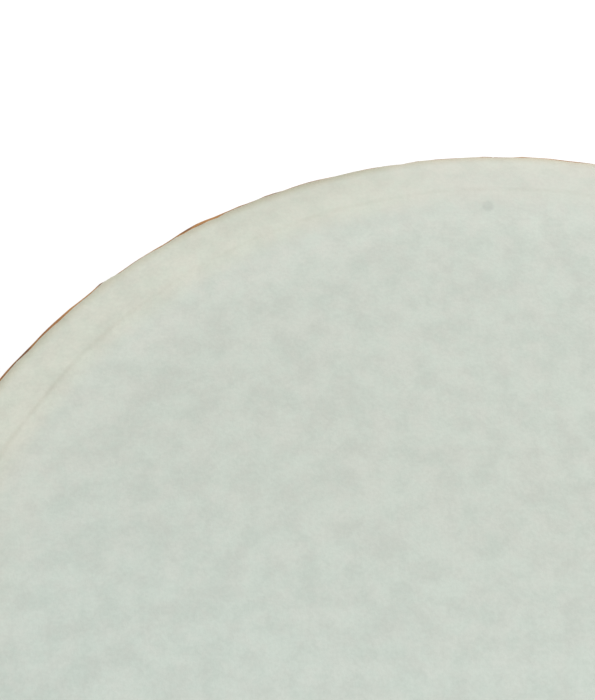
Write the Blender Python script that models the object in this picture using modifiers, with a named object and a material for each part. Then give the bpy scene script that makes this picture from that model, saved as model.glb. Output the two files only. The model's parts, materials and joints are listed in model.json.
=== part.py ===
"""A floor-standing tube drum: a wound fibre tube with a synthetic head glued over its top edge,
a ported base board inside the bottom, and three moulded rubber feet that let the sound out.

Metres, +Z up. The origin is on the floor, under the middle of the drum.
"""

import math

import bmesh
import bpy

# Overall sizes
HEIGHT = 0.635
SHELL_RADIUS = 0.176
SHELL_WALL = 0.007
WRAP = 0.0004
SEAT_GAP = 0.0003

# Head and top edge
FILM = 0.0004
EDGE_ROUND = 0.0035
SKIRT_DEPTH = 0.018
BEARING_RING_WIDTH = 0.0068
BEARING_RING_HEIGHT = 0.030
BEARING_RING_ROUND = 0.001
BAND_WALL = 0.0012
BAND_DROP = 0.0045
BAND_OVERLAP = 0.0105
BAND_ROUND = 0.0005

# Rubber guard on the bottom edge of the shell
GUARD_CLEARANCE = 0.032
GUARD_WALL = 0.0015
GUARD_WEB = 0.002
GUARD_LIP = 0.010
GUARD_ROUND = 0.0011

# Base board, the ring that it is screwed up into, and the sound port
BOARD_ABOVE_GUARD = 0.008
BOARD_THICKNESS = 0.012
BASE_RING_WIDTH = 0.012
BASE_RING_HEIGHT = 0.020
PORT_RADIUS = 0.051
PORT_WALL = 0.004
PORT_LENGTH = 0.240
PORT_CHAMFER = 0.0012
COLLAR_WIDTH = 0.015
COLLAR_HEIGHT = 0.010
COLLAR_CHAMFER = 0.002

# Fasteners
BOLTS_PER_FOOT = 2
BOLT_SPACING = 0.036
BOLT_RADIUS = 0.003
BOLT_HEAD_RADIUS = 0.006
BOLT_HEAD_HEIGHT = 0.004
BOLT_END_ABOVE_NUT = 0.003
WASHER_RADIUS = 0.0084
WASHER_THICKNESS = 0.0015
WASHER_PLAY = 0.0006
TEE_FLANGE_RADIUS = 0.0095
TEE_FLANGE_THICKNESS = 0.0014
TEE_FLANGE_MARGIN = 0.0015
TEE_BARREL_WALL = 0.0009
TEE_BARREL_LENGTH = 0.009
BOARD_SCREWS = 6
SCREW_RADIUS = 0.002
SCREW_LENGTH = 0.025
SCREW_TIP = 0.004
SCREW_HEAD_RADIUS = 0.004
SCREW_HEAD_HEIGHT = 0.0022
HOLE_OVERCUT = 0.001

# Feet
FEET = 3
FIRST_FOOT_ANGLE = math.radians(90)
FOOT_INNER_WALL = 0.0045
FOOT_END_WALL = 0.006
FOOT_DRAFT = 0.003
FOOT_SHOULDER = 0.005
FOOT_ROUND = 0.0022
COUNTERBORE_DEPTH = 0.016
TREAD_WIDTH = 0.0025
TREAD_DEPTH = 0.0015

# Facets
SHELL_STEPS = 72
PORT_STEPS = 36
FASTENER_STEPS = 12
CORNER_STEPS = 3
SMALL_CORNER_STEPS = 2
FOOT_ARC_STEPS = 6
SMOOTH_ANGLE = math.radians(40)
MERGE = 0.00002

# Radii that follow from the sizes above
SHELL_INNER = SHELL_RADIUS - SHELL_WALL
LINING_RADIUS = SHELL_INNER - SEAT_GAP
SKIN_INNER = SHELL_RADIUS + SEAT_GAP
HEAD_RADIUS = SKIN_INNER + FILM
WRAP_RADIUS = SKIN_INNER + WRAP
BAND_INNER = max(HEAD_RADIUS, WRAP_RADIUS) + SEAT_GAP
GUARD_INSIDE = LINING_RADIUS - GUARD_WALL
PORT_OUTER = PORT_RADIUS + PORT_WALL
PORT_SEAT = PORT_OUTER + SEAT_GAP
BASE_RING_INNER = LINING_RADIUS - BASE_RING_WIDTH
SCREW_CIRCLE = LINING_RADIUS - BASE_RING_WIDTH / 2
BOLT_CIRCLE = BASE_RING_INNER - TEE_FLANGE_MARGIN - TEE_FLANGE_RADIUS
BOLT_HOLE_RADIUS = BOLT_RADIUS + SEAT_GAP
TEE_BARREL_RADIUS = BOLT_HOLE_RADIUS + TEE_BARREL_WALL
COUNTERBORE_RADIUS = max(WASHER_RADIUS, BOLT_HEAD_RADIUS) + WASHER_PLAY

# Heights that follow from them
SHELL_TOP = HEIGHT - FILM - SEAT_GAP
SHELL_BOTTOM = GUARD_CLEARANCE + GUARD_WEB + SEAT_GAP
SKIRT_BOTTOM = HEIGHT - SKIRT_DEPTH
GUARD_TOP = SHELL_BOTTOM + GUARD_LIP
BOARD_BOTTOM = GUARD_TOP + BOARD_ABOVE_GUARD
BOARD_TOP = BOARD_BOTTOM + BOARD_THICKNESS
ABOVE_BOARD = BOARD_TOP + SEAT_GAP
BELOW_BOARD = BOARD_BOTTOM - SEAT_GAP
FOOT_LEDGE = GUARD_CLEARANCE - SEAT_GAP
WASHER_TOP = COUNTERBORE_DEPTH - SEAT_GAP
BOLT_SEAT = WASHER_TOP - WASHER_THICKNESS - SEAT_GAP
TEE_FLANGE_TOP = ABOVE_BOARD + TEE_FLANGE_THICKNESS
SCREW_END = BOARD_BOTTOM + SCREW_LENGTH


def clear_scene():
    for obj in list(bpy.data.objects):
        bpy.data.objects.remove(obj)


def new_collection(name, parent=None):
    collection = bpy.data.collections.new(name)
    (parent or bpy.context.scene.collection).children.link(collection)
    return collection


def new_material(name, colour, roughness, metallic=0.0):
    material = bpy.data.materials.new(name)
    material.use_nodes = True
    shader = material.node_tree.nodes["Principled BSDF"]
    shader.inputs["Base Color"].default_value = (*colour, 1.0)
    shader.inputs["Roughness"].default_value = roughness
    shader.inputs["Metallic"].default_value = metallic
    material.diffuse_color = (*colour, 1.0)
    return material


clear_scene()
drum = new_collection("tube_drum")
cutters = new_collection("cutters")

head_film = new_material("head_film", (0.60, 0.64, 0.57), 0.65)
shell_fibre = new_material("shell_fibre", (0.20, 0.075, 0.035), 0.75)
outer_laminate = new_material("outer_laminate", (0.23, 0.062, 0.028), 0.38)
trim_veneer = new_material("trim_veneer", (0.33, 0.115, 0.045), 0.5)
ring_wood = new_material("ring_wood", (0.56, 0.40, 0.24), 0.7)
board_wood = new_material("board_wood", (0.36, 0.24, 0.15), 0.8)
port_card = new_material("port_card", (0.30, 0.20, 0.13), 0.8)
rubber = new_material("rubber", (0.018, 0.018, 0.019), 0.75)
plated_steel = new_material("plated_steel", (0.55, 0.55, 0.56), 0.35, 1.0)


def on_circle(radius, angle):
    return (radius * math.cos(angle), radius * math.sin(angle))


def corner(centre_r, centre_z, radius, start, end, steps=SMALL_CORNER_STEPS):
    """A profile's rounded corner: points (r, z) from one angle to another, where 0 is outwards and 90 up."""
    angles = [math.radians(start + (end - start) * i / steps) for i in range(steps + 1)]
    return [(centre_r + radius * math.cos(a), centre_z + radius * math.sin(a)) for a in angles]


def ring_profile(inner, outer, bottom, top):
    return [(outer, top), (outer, bottom), (inner, bottom), (inner, top)]


def mesh_object(name, mesh, collection=drum):
    obj = bpy.data.objects.new(name, mesh)
    collection.objects.link(obj)
    return obj


def as_cutter(obj):
    obj.hide_render = True
    obj.display_type = "WIRE"


def baked(obj):
    """Applies the modifiers of obj and shades its round faces smooth."""
    graph = bpy.context.evaluated_depsgraph_get()
    mesh = bpy.data.meshes.new_from_object(obj.evaluated_get(graph))
    obj.modifiers.clear()
    obj.data = mesh
    mesh.shade_smooth()
    mesh.set_sharp_from_angle(angle=SMOOTH_ANGLE)
    return obj


def screwed(name, profile, closed, steps, collection=drum):
    """A profile of points (r, z) with a Screw that turns it round Z. It runs down its outer side."""
    count = len(profile)
    edges = [(i, (i + 1) % count) for i in range(count if closed else count - 1)]
    mesh = bpy.data.meshes.new(name)
    mesh.from_pydata([(r, 0, z) for r, z in profile], edges, [])
    obj = mesh_object(name, mesh, collection)
    screw = obj.modifiers.new("turn", "SCREW")
    screw.steps = steps
    screw.render_steps = steps
    screw.use_merge_vertices = True
    screw.merge_threshold = MERGE
    return obj


def turned(name, profile, material, steps=SHELL_STEPS, closed=True):
    """A turned piece. A profile that starts and ends on the axis isn't closed."""
    obj = screwed(name, profile, closed, steps)
    obj.data.materials.append(material)
    return baked(obj)


def hole_cutter(name, radius, bottom, top, place, collection, steps=FASTENER_STEPS):
    """The cutter of a round hole from bottom to top, at place (x, y)."""
    builder = bmesh.new()
    bmesh.ops.create_cone(builder, cap_ends=True, segments=steps, radius1=radius, radius2=radius,
                          depth=top - bottom)
    mesh = bpy.data.meshes.new(name)
    builder.to_mesh(mesh)
    builder.free()
    obj = mesh_object(name, mesh, collection)
    obj.location = (*place, (bottom + top) / 2)
    as_cutter(obj)


def cut_by(obj, collection):
    """Cuts obj by every object of a collection of cutters."""
    bpy.context.view_layer.update()
    cut = obj.modifiers.new("cut", "BOOLEAN")
    cut.operation = "DIFFERENCE"
    cut.operand_type = "COLLECTION"
    cut.collection = collection
    return baked(obj)


def foot_angles():
    return [FIRST_FOOT_ANGLE + math.tau * i / FEET for i in range(FEET)]


def bolt_angles():
    """One foot's bolts, as angles from the middle of the foot."""
    step = BOLT_SPACING / BOLT_CIRCLE
    return [(i - (BOLTS_PER_FOOT - 1) / 2) * step for i in range(BOLTS_PER_FOOT)]


def screw_angles():
    """The base board's screws. The first lies midway between a foot and the gap after it."""
    first = FIRST_FOOT_ANGLE + math.pi / FEET / 2
    return [first + math.tau * i / BOARD_SCREWS for i in range(BOARD_SCREWS)]


# The tube, the ring that widens its top edge, and the laminate round it
def build_shell():
    profile = corner(SHELL_RADIUS - EDGE_ROUND, SHELL_TOP - EDGE_ROUND, EDGE_ROUND, 90, 0, CORNER_STEPS)
    profile += [(SHELL_RADIUS, SHELL_BOTTOM), (SHELL_INNER, SHELL_BOTTOM), (SHELL_INNER, SHELL_TOP)]
    turned("shell_tube", profile, shell_fibre)

    inner = LINING_RADIUS - BEARING_RING_WIDTH
    bottom = SHELL_TOP - BEARING_RING_HEIGHT
    profile = [(LINING_RADIUS, SHELL_TOP), (LINING_RADIUS, bottom), (inner, bottom)]
    profile += corner(inner + BEARING_RING_ROUND, SHELL_TOP - BEARING_RING_ROUND, BEARING_RING_ROUND,
                      180, 90)
    turned("bearing_edge_ring", profile, ring_wood)

    top = SKIRT_BOTTOM - SEAT_GAP
    turned("shell_wrap", ring_profile(SKIN_INNER, WRAP_RADIUS, SHELL_BOTTOM, top), outer_laminate)


# The film lies flat, turns over the shell's rounded edge and runs down its side as a skirt
def build_head():
    fold = HEAD_RADIUS - SHELL_RADIUS + EDGE_ROUND
    profile = [(0, HEIGHT)]
    profile += corner(HEAD_RADIUS - fold, HEIGHT - fold, fold, 90, 0, CORNER_STEPS)
    profile += [(HEAD_RADIUS, SKIRT_BOTTOM)]
    head = screwed("drumhead", profile, False, SHELL_STEPS)
    head.data.materials.append(head_film)
    thickness = head.modifiers.new("thickness", "SOLIDIFY")
    thickness.thickness = FILM
    thickness.offset = -1
    thickness.use_even_offset = True
    baked(head)

    top = HEIGHT - BAND_DROP
    bottom = SKIRT_BOTTOM - BAND_OVERLAP
    middle = BAND_INNER + BAND_WALL - BAND_ROUND
    profile = corner(middle, top - BAND_ROUND, BAND_ROUND, 90, 0)
    profile += corner(middle, bottom + BAND_ROUND, BAND_ROUND, 0, -90)
    profile += [(BAND_INNER, bottom), (BAND_INNER, top)]
    turned("head_trim_band", profile, trim_veneer)


# A channel pushed on to the bottom edge of the wrapped shell
def build_guard():
    outer_lip = WRAP_RADIUS + SEAT_GAP
    outside = outer_lip + GUARD_WALL
    web_top = GUARD_CLEARANCE + GUARD_WEB
    low = GUARD_CLEARANCE + GUARD_ROUND
    profile = [(outside, GUARD_TOP)]
    profile += corner(outside - GUARD_ROUND, low, GUARD_ROUND, 0, -90)
    profile += corner(GUARD_INSIDE + GUARD_ROUND, low, GUARD_ROUND, -90, -180)
    profile += [(GUARD_INSIDE, GUARD_TOP), (LINING_RADIUS, GUARD_TOP), (LINING_RADIUS, web_top)]
    profile += [(outer_lip, web_top), (outer_lip, GUARD_TOP)]
    turned("bottom_edge_guard", profile, rubber)


# The board, with holes for the port, the feet's tee nuts and its own screws
def build_board():
    board_cutters = new_collection("board_cutters", cutters)
    below = BOARD_BOTTOM - HOLE_OVERCUT
    above = BOARD_TOP + HOLE_OVERCUT
    port_hole = PORT_SEAT / math.cos(math.pi / PORT_STEPS)
    hole_cutter("port_hole", port_hole, below, above, (0, 0), board_cutters, PORT_STEPS)
    for f, foot in enumerate(foot_angles(), 1):
        for b, turn in enumerate(bolt_angles(), 1):
            hole_cutter(f"tee_nut_hole_{f}_{b}", TEE_BARREL_RADIUS + SEAT_GAP, below, above,
                        on_circle(BOLT_CIRCLE, foot + turn), board_cutters)
    for s, angle in enumerate(screw_angles(), 1):
        hole_cutter(f"screw_hole_{s}", SCREW_RADIUS + SEAT_GAP, below, above,
                    on_circle(SCREW_CIRCLE, angle), board_cutters)
    disc = [(0, BOARD_TOP), (LINING_RADIUS, BOARD_TOP), (LINING_RADIUS, BOARD_BOTTOM), (0, BOARD_BOTTOM)]
    cut_by(turned("base_board", disc, board_wood, closed=False), board_cutters)

    ring_cutters = new_collection("ring_cutters", cutters)
    for s, angle in enumerate(screw_angles(), 1):
        hole_cutter(f"pilot_hole_{s}", SCREW_RADIUS + SEAT_GAP, BOARD_TOP - HOLE_OVERCUT,
                    SCREW_END + SEAT_GAP, on_circle(SCREW_CIRCLE, angle), ring_cutters)
    ring = ring_profile(BASE_RING_INNER, LINING_RADIUS, ABOVE_BOARD, ABOVE_BOARD + BASE_RING_HEIGHT)
    cut_by(turned("base_ring", ring, ring_wood), ring_cutters)


# The sound port stands in the board, flush with its underside, and a collar holds it on top
def build_port():
    top = BOARD_BOTTOM + PORT_LENGTH
    profile = [(PORT_OUTER - PORT_CHAMFER, top), (PORT_OUTER, top - PORT_CHAMFER)]
    profile += [(PORT_OUTER, BOARD_BOTTOM), (PORT_RADIUS + PORT_CHAMFER, BOARD_BOTTOM)]
    profile += [(PORT_RADIUS, BOARD_BOTTOM + PORT_CHAMFER), (PORT_RADIUS, top - PORT_CHAMFER)]
    profile += [(PORT_RADIUS + PORT_CHAMFER, top)]
    turned("port_tube", profile, port_card, PORT_STEPS)

    outer = PORT_SEAT + COLLAR_WIDTH
    top = ABOVE_BOARD + COLLAR_HEIGHT
    profile = [(outer - COLLAR_CHAMFER, top), (outer, top - COLLAR_CHAMFER)]
    profile += [(outer, ABOVE_BOARD), (PORT_SEAT, ABOVE_BOARD), (PORT_SEAT, top)]
    turned("port_collar", profile, board_wood, PORT_STEPS)


def foot_outline(inner, outer, half_angle, z):
    """A piece of a ring seen from above, with its middle on +X: the outer arc, then the inner arc back."""
    turns = [half_angle * (2 * i / FOOT_ARC_STEPS - 1) for i in range(FOOT_ARC_STEPS + 1)]
    outline = [(*on_circle(outer, a), z) for a in turns]
    outline += [(*on_circle(inner, a), z) for a in reversed(turns)]
    return outline


def lofted(name, outlines):
    """A closed solid through outlines of the same number of points, from the bottom one to the top one."""
    builder = bmesh.new()
    loops = [[builder.verts.new(point) for point in outline] for outline in outlines]
    for lower, upper in zip(loops, loops[1:]):
        for i in range(len(lower)):
            builder.faces.new((lower[i - 1], lower[i], upper[i], upper[i - 1]))
    builder.faces.new(loops[0])
    builder.faces.new(loops[-1])
    bmesh.ops.recalc_face_normals(builder, faces=builder.faces)
    mesh = bpy.data.meshes.new(name)
    builder.to_mesh(mesh)
    builder.free()
    return mesh


# A foot is drafted below the shell's edge, has a ledge for that edge, and goes on up to the board.
# Its walls are measured at the sole, where it is smallest.
def foot_mesh():
    sole_inner = BOLT_CIRCLE - COUNTERBORE_RADIUS - FOOT_INNER_WALL
    sole_half = BOLT_SPACING * (BOLTS_PER_FOOT - 1) / 2 + COUNTERBORE_RADIUS + FOOT_END_WALL
    inner = sole_inner - FOOT_DRAFT
    half = sole_half + FOOT_DRAFT
    upper_inner = inner + FOOT_SHOULDER
    upper_outer = GUARD_INSIDE - FOOT_ROUND
    upper_angle = (half - FOOT_SHOULDER) / BOLT_CIRCLE
    mesh = lofted("foot", [
        foot_outline(sole_inner, SHELL_RADIUS - FOOT_DRAFT, sole_half / BOLT_CIRCLE, 0),
        foot_outline(inner, SHELL_RADIUS, half / BOLT_CIRCLE, FOOT_LEDGE),
        foot_outline(upper_inner, upper_outer, upper_angle, FOOT_LEDGE),
        foot_outline(upper_inner, upper_outer, upper_angle, BELOW_BOARD),
    ])
    mesh.materials.append(rubber)
    return mesh


def foot_cutters():
    """The bolt holes and counterbores of the foot on +X, and two grooves of the tread under it."""
    collection = new_collection("foot_cutters", cutters)
    for b, turn in enumerate(bolt_angles(), 1):
        place = on_circle(BOLT_CIRCLE, turn)
        hole_cutter(f"counterbore_{b}", COUNTERBORE_RADIUS, -HOLE_OVERCUT, COUNTERBORE_DEPTH, place,
                    collection)
        hole_cutter(f"bolt_hole_{b}", BOLT_HOLE_RADIUS, -HOLE_OVERCUT, BELOW_BOARD + HOLE_OVERCUT, place,
                    collection)
    for t, side in enumerate((-1, 1), 1):
        middle = BOLT_CIRCLE + side * COUNTERBORE_RADIUS
        groove = ring_profile(middle - TREAD_WIDTH / 2, middle + TREAD_WIDTH / 2, -HOLE_OVERCUT, TREAD_DEPTH)
        as_cutter(baked(screwed(f"tread_groove_{t}", groove, True, SHELL_STEPS, collection)))
    return collection


def build_feet():
    """The feet, each under an empty that turns it to its place. Returns the empties."""
    first = mesh_object("foot_1", foot_mesh())
    edges = first.modifiers.new("rounded_edges", "BEVEL")
    edges.width = FOOT_ROUND
    edges.segments = 2
    edges.limit_method = "ANGLE"
    edges.angle_limit = SMOOTH_ANGLE
    cut_by(baked(first), foot_cutters())

    stations = []
    for f, angle in enumerate(foot_angles(), 1):
        station = bpy.data.objects.new(f"foot_station_{f}", None)
        drum.objects.link(station)
        station.rotation_euler = (0, 0, angle)
        foot = first if f == 1 else mesh_object(f"foot_{f}", first.data)
        foot.parent = station
        stations.append(station)
    return stations


def bolt_profile():
    head_bottom = BOLT_SEAT - BOLT_HEAD_HEIGHT
    end = TEE_FLANGE_TOP + BOLT_END_ABOVE_NUT
    crown = BOLT_HEAD_HEIGHT / 3
    return [(0, end), (BOLT_RADIUS, end), (BOLT_RADIUS, BOLT_SEAT), (BOLT_HEAD_RADIUS, BOLT_SEAT),
            (BOLT_HEAD_RADIUS, head_bottom + crown), (BOLT_HEAD_RADIUS - crown, head_bottom),
            (0, head_bottom)]


def washer_profile():
    return ring_profile(BOLT_HOLE_RADIUS, WASHER_RADIUS, WASHER_TOP - WASHER_THICKNESS, WASHER_TOP)


def tee_nut_profile():
    barrel_end = BOARD_TOP - TEE_BARREL_LENGTH
    return [(TEE_FLANGE_RADIUS, TEE_FLANGE_TOP), (TEE_FLANGE_RADIUS, ABOVE_BOARD),
            (TEE_BARREL_RADIUS, ABOVE_BOARD), (TEE_BARREL_RADIUS, barrel_end),
            (BOLT_HOLE_RADIUS, barrel_end), (BOLT_HOLE_RADIUS, TEE_FLANGE_TOP)]


def screw_profile():
    head_bottom = BELOW_BOARD - SCREW_HEAD_HEIGHT
    crown = SCREW_HEAD_HEIGHT / 2
    return [(0, SCREW_END), (SCREW_RADIUS, SCREW_END - SCREW_TIP), (SCREW_RADIUS, BELOW_BOARD),
            (SCREW_HEAD_RADIUS, BELOW_BOARD), (SCREW_HEAD_RADIUS, head_bottom + crown),
            (SCREW_HEAD_RADIUS - crown, head_bottom), (0, head_bottom)]


def build_set(kind, profile, closed, places):
    """Copies of one turned fastener. Each place is (the name's ending, the parent, (x, y) under it)."""
    ending, _, _ = places[0]
    shared = turned(f"{kind}_{ending}", profile, plated_steel, FASTENER_STEPS, closed)
    for ending, parent, place in places:
        name = f"{kind}_{ending}"
        obj = shared if shared.name == name else mesh_object(name, shared.data)
        obj.parent = parent
        obj.location = (*place, 0)


def build_fasteners(stations):
    places = [(f"{f}_{b}", station, on_circle(BOLT_CIRCLE, turn))
              for f, station in enumerate(stations, 1) for b, turn in enumerate(bolt_angles(), 1)]
    build_set("foot_bolt", bolt_profile(), False, places)
    build_set("foot_washer", washer_profile(), True, places)
    build_set("tee_nut", tee_nut_profile(), True, places)
    places = [(str(s), None, on_circle(SCREW_CIRCLE, angle)) for s, angle in enumerate(screw_angles(), 1)]
    build_set("board_screw", screw_profile(), False, places)


build_shell()
build_head()
build_guard()
build_board()
build_port()
build_fasteners(build_feet())
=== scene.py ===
"""A floor-standing tube drum, seen close from above: its synthetic head, the stained band round the top
edge, the laminated shell, and the rubber, board, port and fasteners under it. Metres, +Z up.
"""

import json
import math
import random

import bpy
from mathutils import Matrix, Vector


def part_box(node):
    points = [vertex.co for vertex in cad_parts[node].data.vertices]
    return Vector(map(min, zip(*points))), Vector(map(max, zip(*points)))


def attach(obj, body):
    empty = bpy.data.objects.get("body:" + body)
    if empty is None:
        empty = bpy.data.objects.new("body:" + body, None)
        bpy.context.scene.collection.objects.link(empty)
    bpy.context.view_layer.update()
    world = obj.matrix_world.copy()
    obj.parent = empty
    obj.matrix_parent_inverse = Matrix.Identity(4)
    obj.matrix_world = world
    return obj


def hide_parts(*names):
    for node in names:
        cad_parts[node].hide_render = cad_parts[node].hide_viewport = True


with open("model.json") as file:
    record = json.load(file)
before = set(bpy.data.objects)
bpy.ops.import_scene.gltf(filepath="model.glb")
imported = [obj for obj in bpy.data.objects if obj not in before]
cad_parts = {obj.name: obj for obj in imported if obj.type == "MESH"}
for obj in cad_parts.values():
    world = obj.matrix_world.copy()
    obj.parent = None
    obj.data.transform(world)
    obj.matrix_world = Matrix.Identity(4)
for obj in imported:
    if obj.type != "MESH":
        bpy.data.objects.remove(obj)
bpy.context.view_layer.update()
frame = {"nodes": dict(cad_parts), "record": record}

# Fineness of the meshes
RIM_STEPS = 360
PORT_STEPS = 160
FASTENER_STEPS = 32
HOLE_STEPS = 48
CUTTER_TURN = math.radians(2)
CORNER_STEPS = 6
SMALL_CORNER_STEPS = 3
FOLD_STEPS = 10
FOOT_ROUND_STEPS = 5
DOME_ANGLES = [math.radians(15 * i) for i in range(1, 7)]
POINT_PLANE = 0.01
MERGE = 0.000005
SMOOTH_ANGLE = math.radians(32)

# Head, with the line that the ring under it leaves in the film, and the grey dot on it
FILM = 0.0004
FOLD = 0.0042
LINE_INSIDE = 0.1600
LINE_OUTSIDE = 0.1619
LINE_RISE = (LINE_INSIDE - 0.0006, LINE_INSIDE + 0.0011)
LINE_FALL = (LINE_OUTSIDE + 0.0004, LINE_OUTSIDE - 0.0011)
LINE_DROP = 0.00006
LINE_STEPS = 8
FLAT_RINGS = (0.15, 0.35, 0.55, 0.72, 0.86, 0.95, 0.985)
DOT_PLACE = (-0.0043, 0.1537, 0.635)
DOT_RADIUS = 0.0024
DOT_CORE = 0.0012

# Tones of the film, each with the distances from the head's middle at which it starts and is full
LIGHTER = (0.135, 0.151)
WARMER = (0.152, 0.1605)
# A little darker over the rim's outer part, in a band along X
DIMMED_RIM = (0.163, 0.170)
# The fold's yellowing, partly a stain and partly painted shade of the bend, on the side away from the lamps
SHADED_FOLD = (0.1708, 0.1756)
# The fold's painted shade, deeper in a band along X
DEEPER_FOLD_SHADE = (0.1712, 0.1758)
# A painted highlight on the rim's rounded edge on the lit side, then the fold's yellowing there, partly a
# stain and partly painted shade
RIM_HIGHLIGHT = (0.166, 0.171)
LIT_FOLD = (0.1712, 0.1771)
CALM_RIM = (0.148, 0.156)

# Sides of the film, each with the places along X at which it starts and is full
# The side away from the lamps, where the fold's painted shade is deeper and the rim has no painted highlight
SHADED_SIDE = (-0.005, -0.050)
# A band along X where the rim is a little darker and the fold's painted shade deeper
DIMMED_FROM_RIGHT = (-0.015, -0.045)
DIMMED_FROM_LEFT = (-0.115, -0.075)
CALM_SIDE = (-0.100, -0.070)
# Where the ring's line, partly painted shade, is stronger and less broken
STRONG_LINE_SIDE = (-0.100, -0.135)
CLEAR_LINE_SIDE = (0.028, 0.006)

# Where the film's near part, a little lighter, starts and is full: along Y, with a lean towards X
NEAR_PART = (0.06, -0.03)
NEAR_LEAN = 0.25

# How far the limits of the film's tones wander, and how close its specks are, in specks a metre
TONE_WANDER = 0.006
SPECK_SCALE = 28.0

# Uneven hand work of the rim, and the random pulls on the part of it that the camera doesn't see, whose
# place and steps round the rim, FAR_RIM and FAR_STEP, are in degrees
RIM_COLUMN = math.radians(0.6)
WAVER_SCALE = 0.006
FILM_WAVER = 0.0003
FILM_STILL = 0.15
BAND_WAVER = 0.0003
BAND_RAGGED = 0.003
FAR_RIM = (160, 430)
FAR_STEP = (7, 16)
FAR_REACH = (0.008, 0.020)
FILM_SEED = 3
FILM_FAR_PULL = 0.0002
BAND_SEED = 5
BAND_FAR_PULL = 0.0003

# Shell, band, laminate and rubber channel
BAND_WALL = 0.0012
BAND_ROUND = 0.0005
LAMINATE = 0.0004
LAMINATE_ROUND = 0.00012
SHEET_GAP = 0.0005
CHANNEL_WALL = 0.0015
CHANNEL_WEB = 0.002
CHANNEL_ROUND = 0.0011
SHELL_WALL = 0.007
SEAT_GAP = 0.0003
DRUM_RADIUS = 0.177
BACK = math.radians(90)
FIBRE_PITCH = 0.11

# Board, rings and port
PLY = 0.0013
BOARD_ROUND = 0.0008
PORT_WALL = 0.004
PORT_ROUND = 0.0009
CARD_PITCH = 0.075
CARD_LAYER = 0.0005
TEE_HOLE_RADIUS = 0.0045
SCREW_HOLE_RADIUS = 0.0023
HOLE_OVERCUT = 0.002

# Feet
FOOT_ANGLES = [math.radians(90 + 120 * i) for i in range(3)]
FOOT_COLUMNS = 28
FOOT_UPPER_COLUMNS = 24
FOOT_DRAFT = 0.003
FOOT_SHOULDER = 0.005
FOOT_HALF = 0.036
FOOT_INNER_WALL = 0.0045
FOOT_ROUND = 0.0022
FOOT_EDGE_ANGLE = math.radians(40)
LEDGE_HEIGHT = 0.0317
UPPER_OUTER = 0.165
COUNTERBORE_RADIUS = 0.009
COUNTERBORE_DEPTH = 0.016
COUNTERBORE_CHAMFER = 0.0007
BOLT_HOLE_RADIUS = 0.0033
TREAD_WIDTH = 0.0025
TREAD_DEPTH = 0.0015
PARTING_HEIGHT = 0.0190
PARTING_WIDTH = 0.0004
PARTING_STAND = 0.00015

# Fasteners
BOLT_RADIUS = 0.003
BOLT_HEAD_HEIGHT = 0.004
BOLT_DOME = 0.0016
BOLT_FLAT = 0.45
BOLT_EDGE = 0.0002
SOCKET_SIDES = 6
SOCKET_RADIUS = 0.0023
SOCKET_DEPTH = 0.0022
THREAD_PITCH = 0.001
THREAD_DEPTH = 0.0004
WASHER_ROUND = 0.0003
NUT_BARREL_RADIUS = 0.0042
NUT_FLANGE = 0.0014
NUT_ROUND = 0.0004
NUT_CHAMFER = 0.0003
SCREW_RADIUS = 0.002
SCREW_HEAD_HEIGHT = 0.0022
SCREW_CROWN = 0.85
SCREW_PITCH = 0.0018
SCREW_THREAD = 0.0006
SCREW_TIP = 0.004
CROSS_WIDTH = 0.001
CROSS_LENGTH = 0.0044
CROSS_DEPTH = 0.0014

# Camera and light: the lens in millimetres, the tilt in degrees and the powers in watts
CAMERA_LENS = 64.103
CAMERA_TILT = 33.301
CAMERA_PLACE = (-0.06495, -0.10282, 0.94190)
CAMERA_NEAR = 0.01
KEY_PLACE = (0.9, 1.35, 2.05)
KEY_SIZE = 1.5
KEY_POWER = 16.2
FILL_PLACE = (1.0, 0.25, 1.5)
FILL_SIZE = 0.9
FILL_POWER = 3.8
LAMP_TARGET = (0, 0, 0.4)
SKY = 0.62
FLOOR_SIZE = 12.0
FLOOR_WHITE = 0.85
FLOOR_LIFT = 0.30
FLOOR_FADE = (0.7, 2.2)


class Signal:
    """A socket of a material's node tree. Python's operators on it add Math nodes."""

    def __init__(self, tree, socket=None):
        self.tree = tree
        self.socket = socket

    def node(self, kind, settings=None, inputs=None, output=0):
        """Adds a node: its settings first, then its sockets' values or links. Returns one of its outputs."""
        made = self.tree.nodes.new(kind)
        for name, value in (settings or {}).items():
            setattr(made, name, value)
        for key, value in (inputs or {}).items():
            if isinstance(value, Signal):
                self.tree.links.new(value.socket, made.inputs[key])
            else:
                made.inputs[key].default_value = value
        return Signal(self.tree, made.outputs[output])

    def maths(self, operation, *others):
        return self.node("ShaderNodeMath", {"operation": operation}, dict(enumerate((self, *others))))

    def __add__(self, other):
        return self.maths("ADD", other)

    __radd__ = __add__

    def __sub__(self, other):
        return self.maths("SUBTRACT", other)

    def __rsub__(self, other):
        return self.node("ShaderNodeMath", {"operation": "SUBTRACT"}, {0: other, 1: self})

    def __mul__(self, other):
        return self.maths("MULTIPLY", other)

    __rmul__ = __mul__

    def __truediv__(self, other):
        return self.maths("DIVIDE", other)


def shown(red, green, blue):
    """A colour given as it shows on a screen, 0 to 255, as the linear colour that a shader takes."""
    linear = [((c / 255 + 0.055) / 1.055) ** 2.4 if c > 10 else c / 255 / 12.92 for c in (red, green, blue)]
    return (*linear, 1.0)


def place_of(signal):
    """The point of the surface, on the drum's own axes."""
    return signal.node("ShaderNodeTexCoord", output="Object")


def stretched(point, scale):
    return point.node("ShaderNodeVectorMath", {"operation": "MULTIPLY"}, {0: point, 1: scale})


def shifted(point, origin):
    return point.node("ShaderNodeVectorMath", {"operation": "SUBTRACT"}, {0: point, 1: origin})


def cloud(point, size, detail=2.0, roughness=0.5):
    """Soft noise, about 0 to 1, whose blotches are about size wide."""
    inputs = {"Vector": point, "Scale": 1 / size, "Detail": detail, "Roughness": roughness}
    return point.node("ShaderNodeTexNoise", None, inputs)


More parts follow.
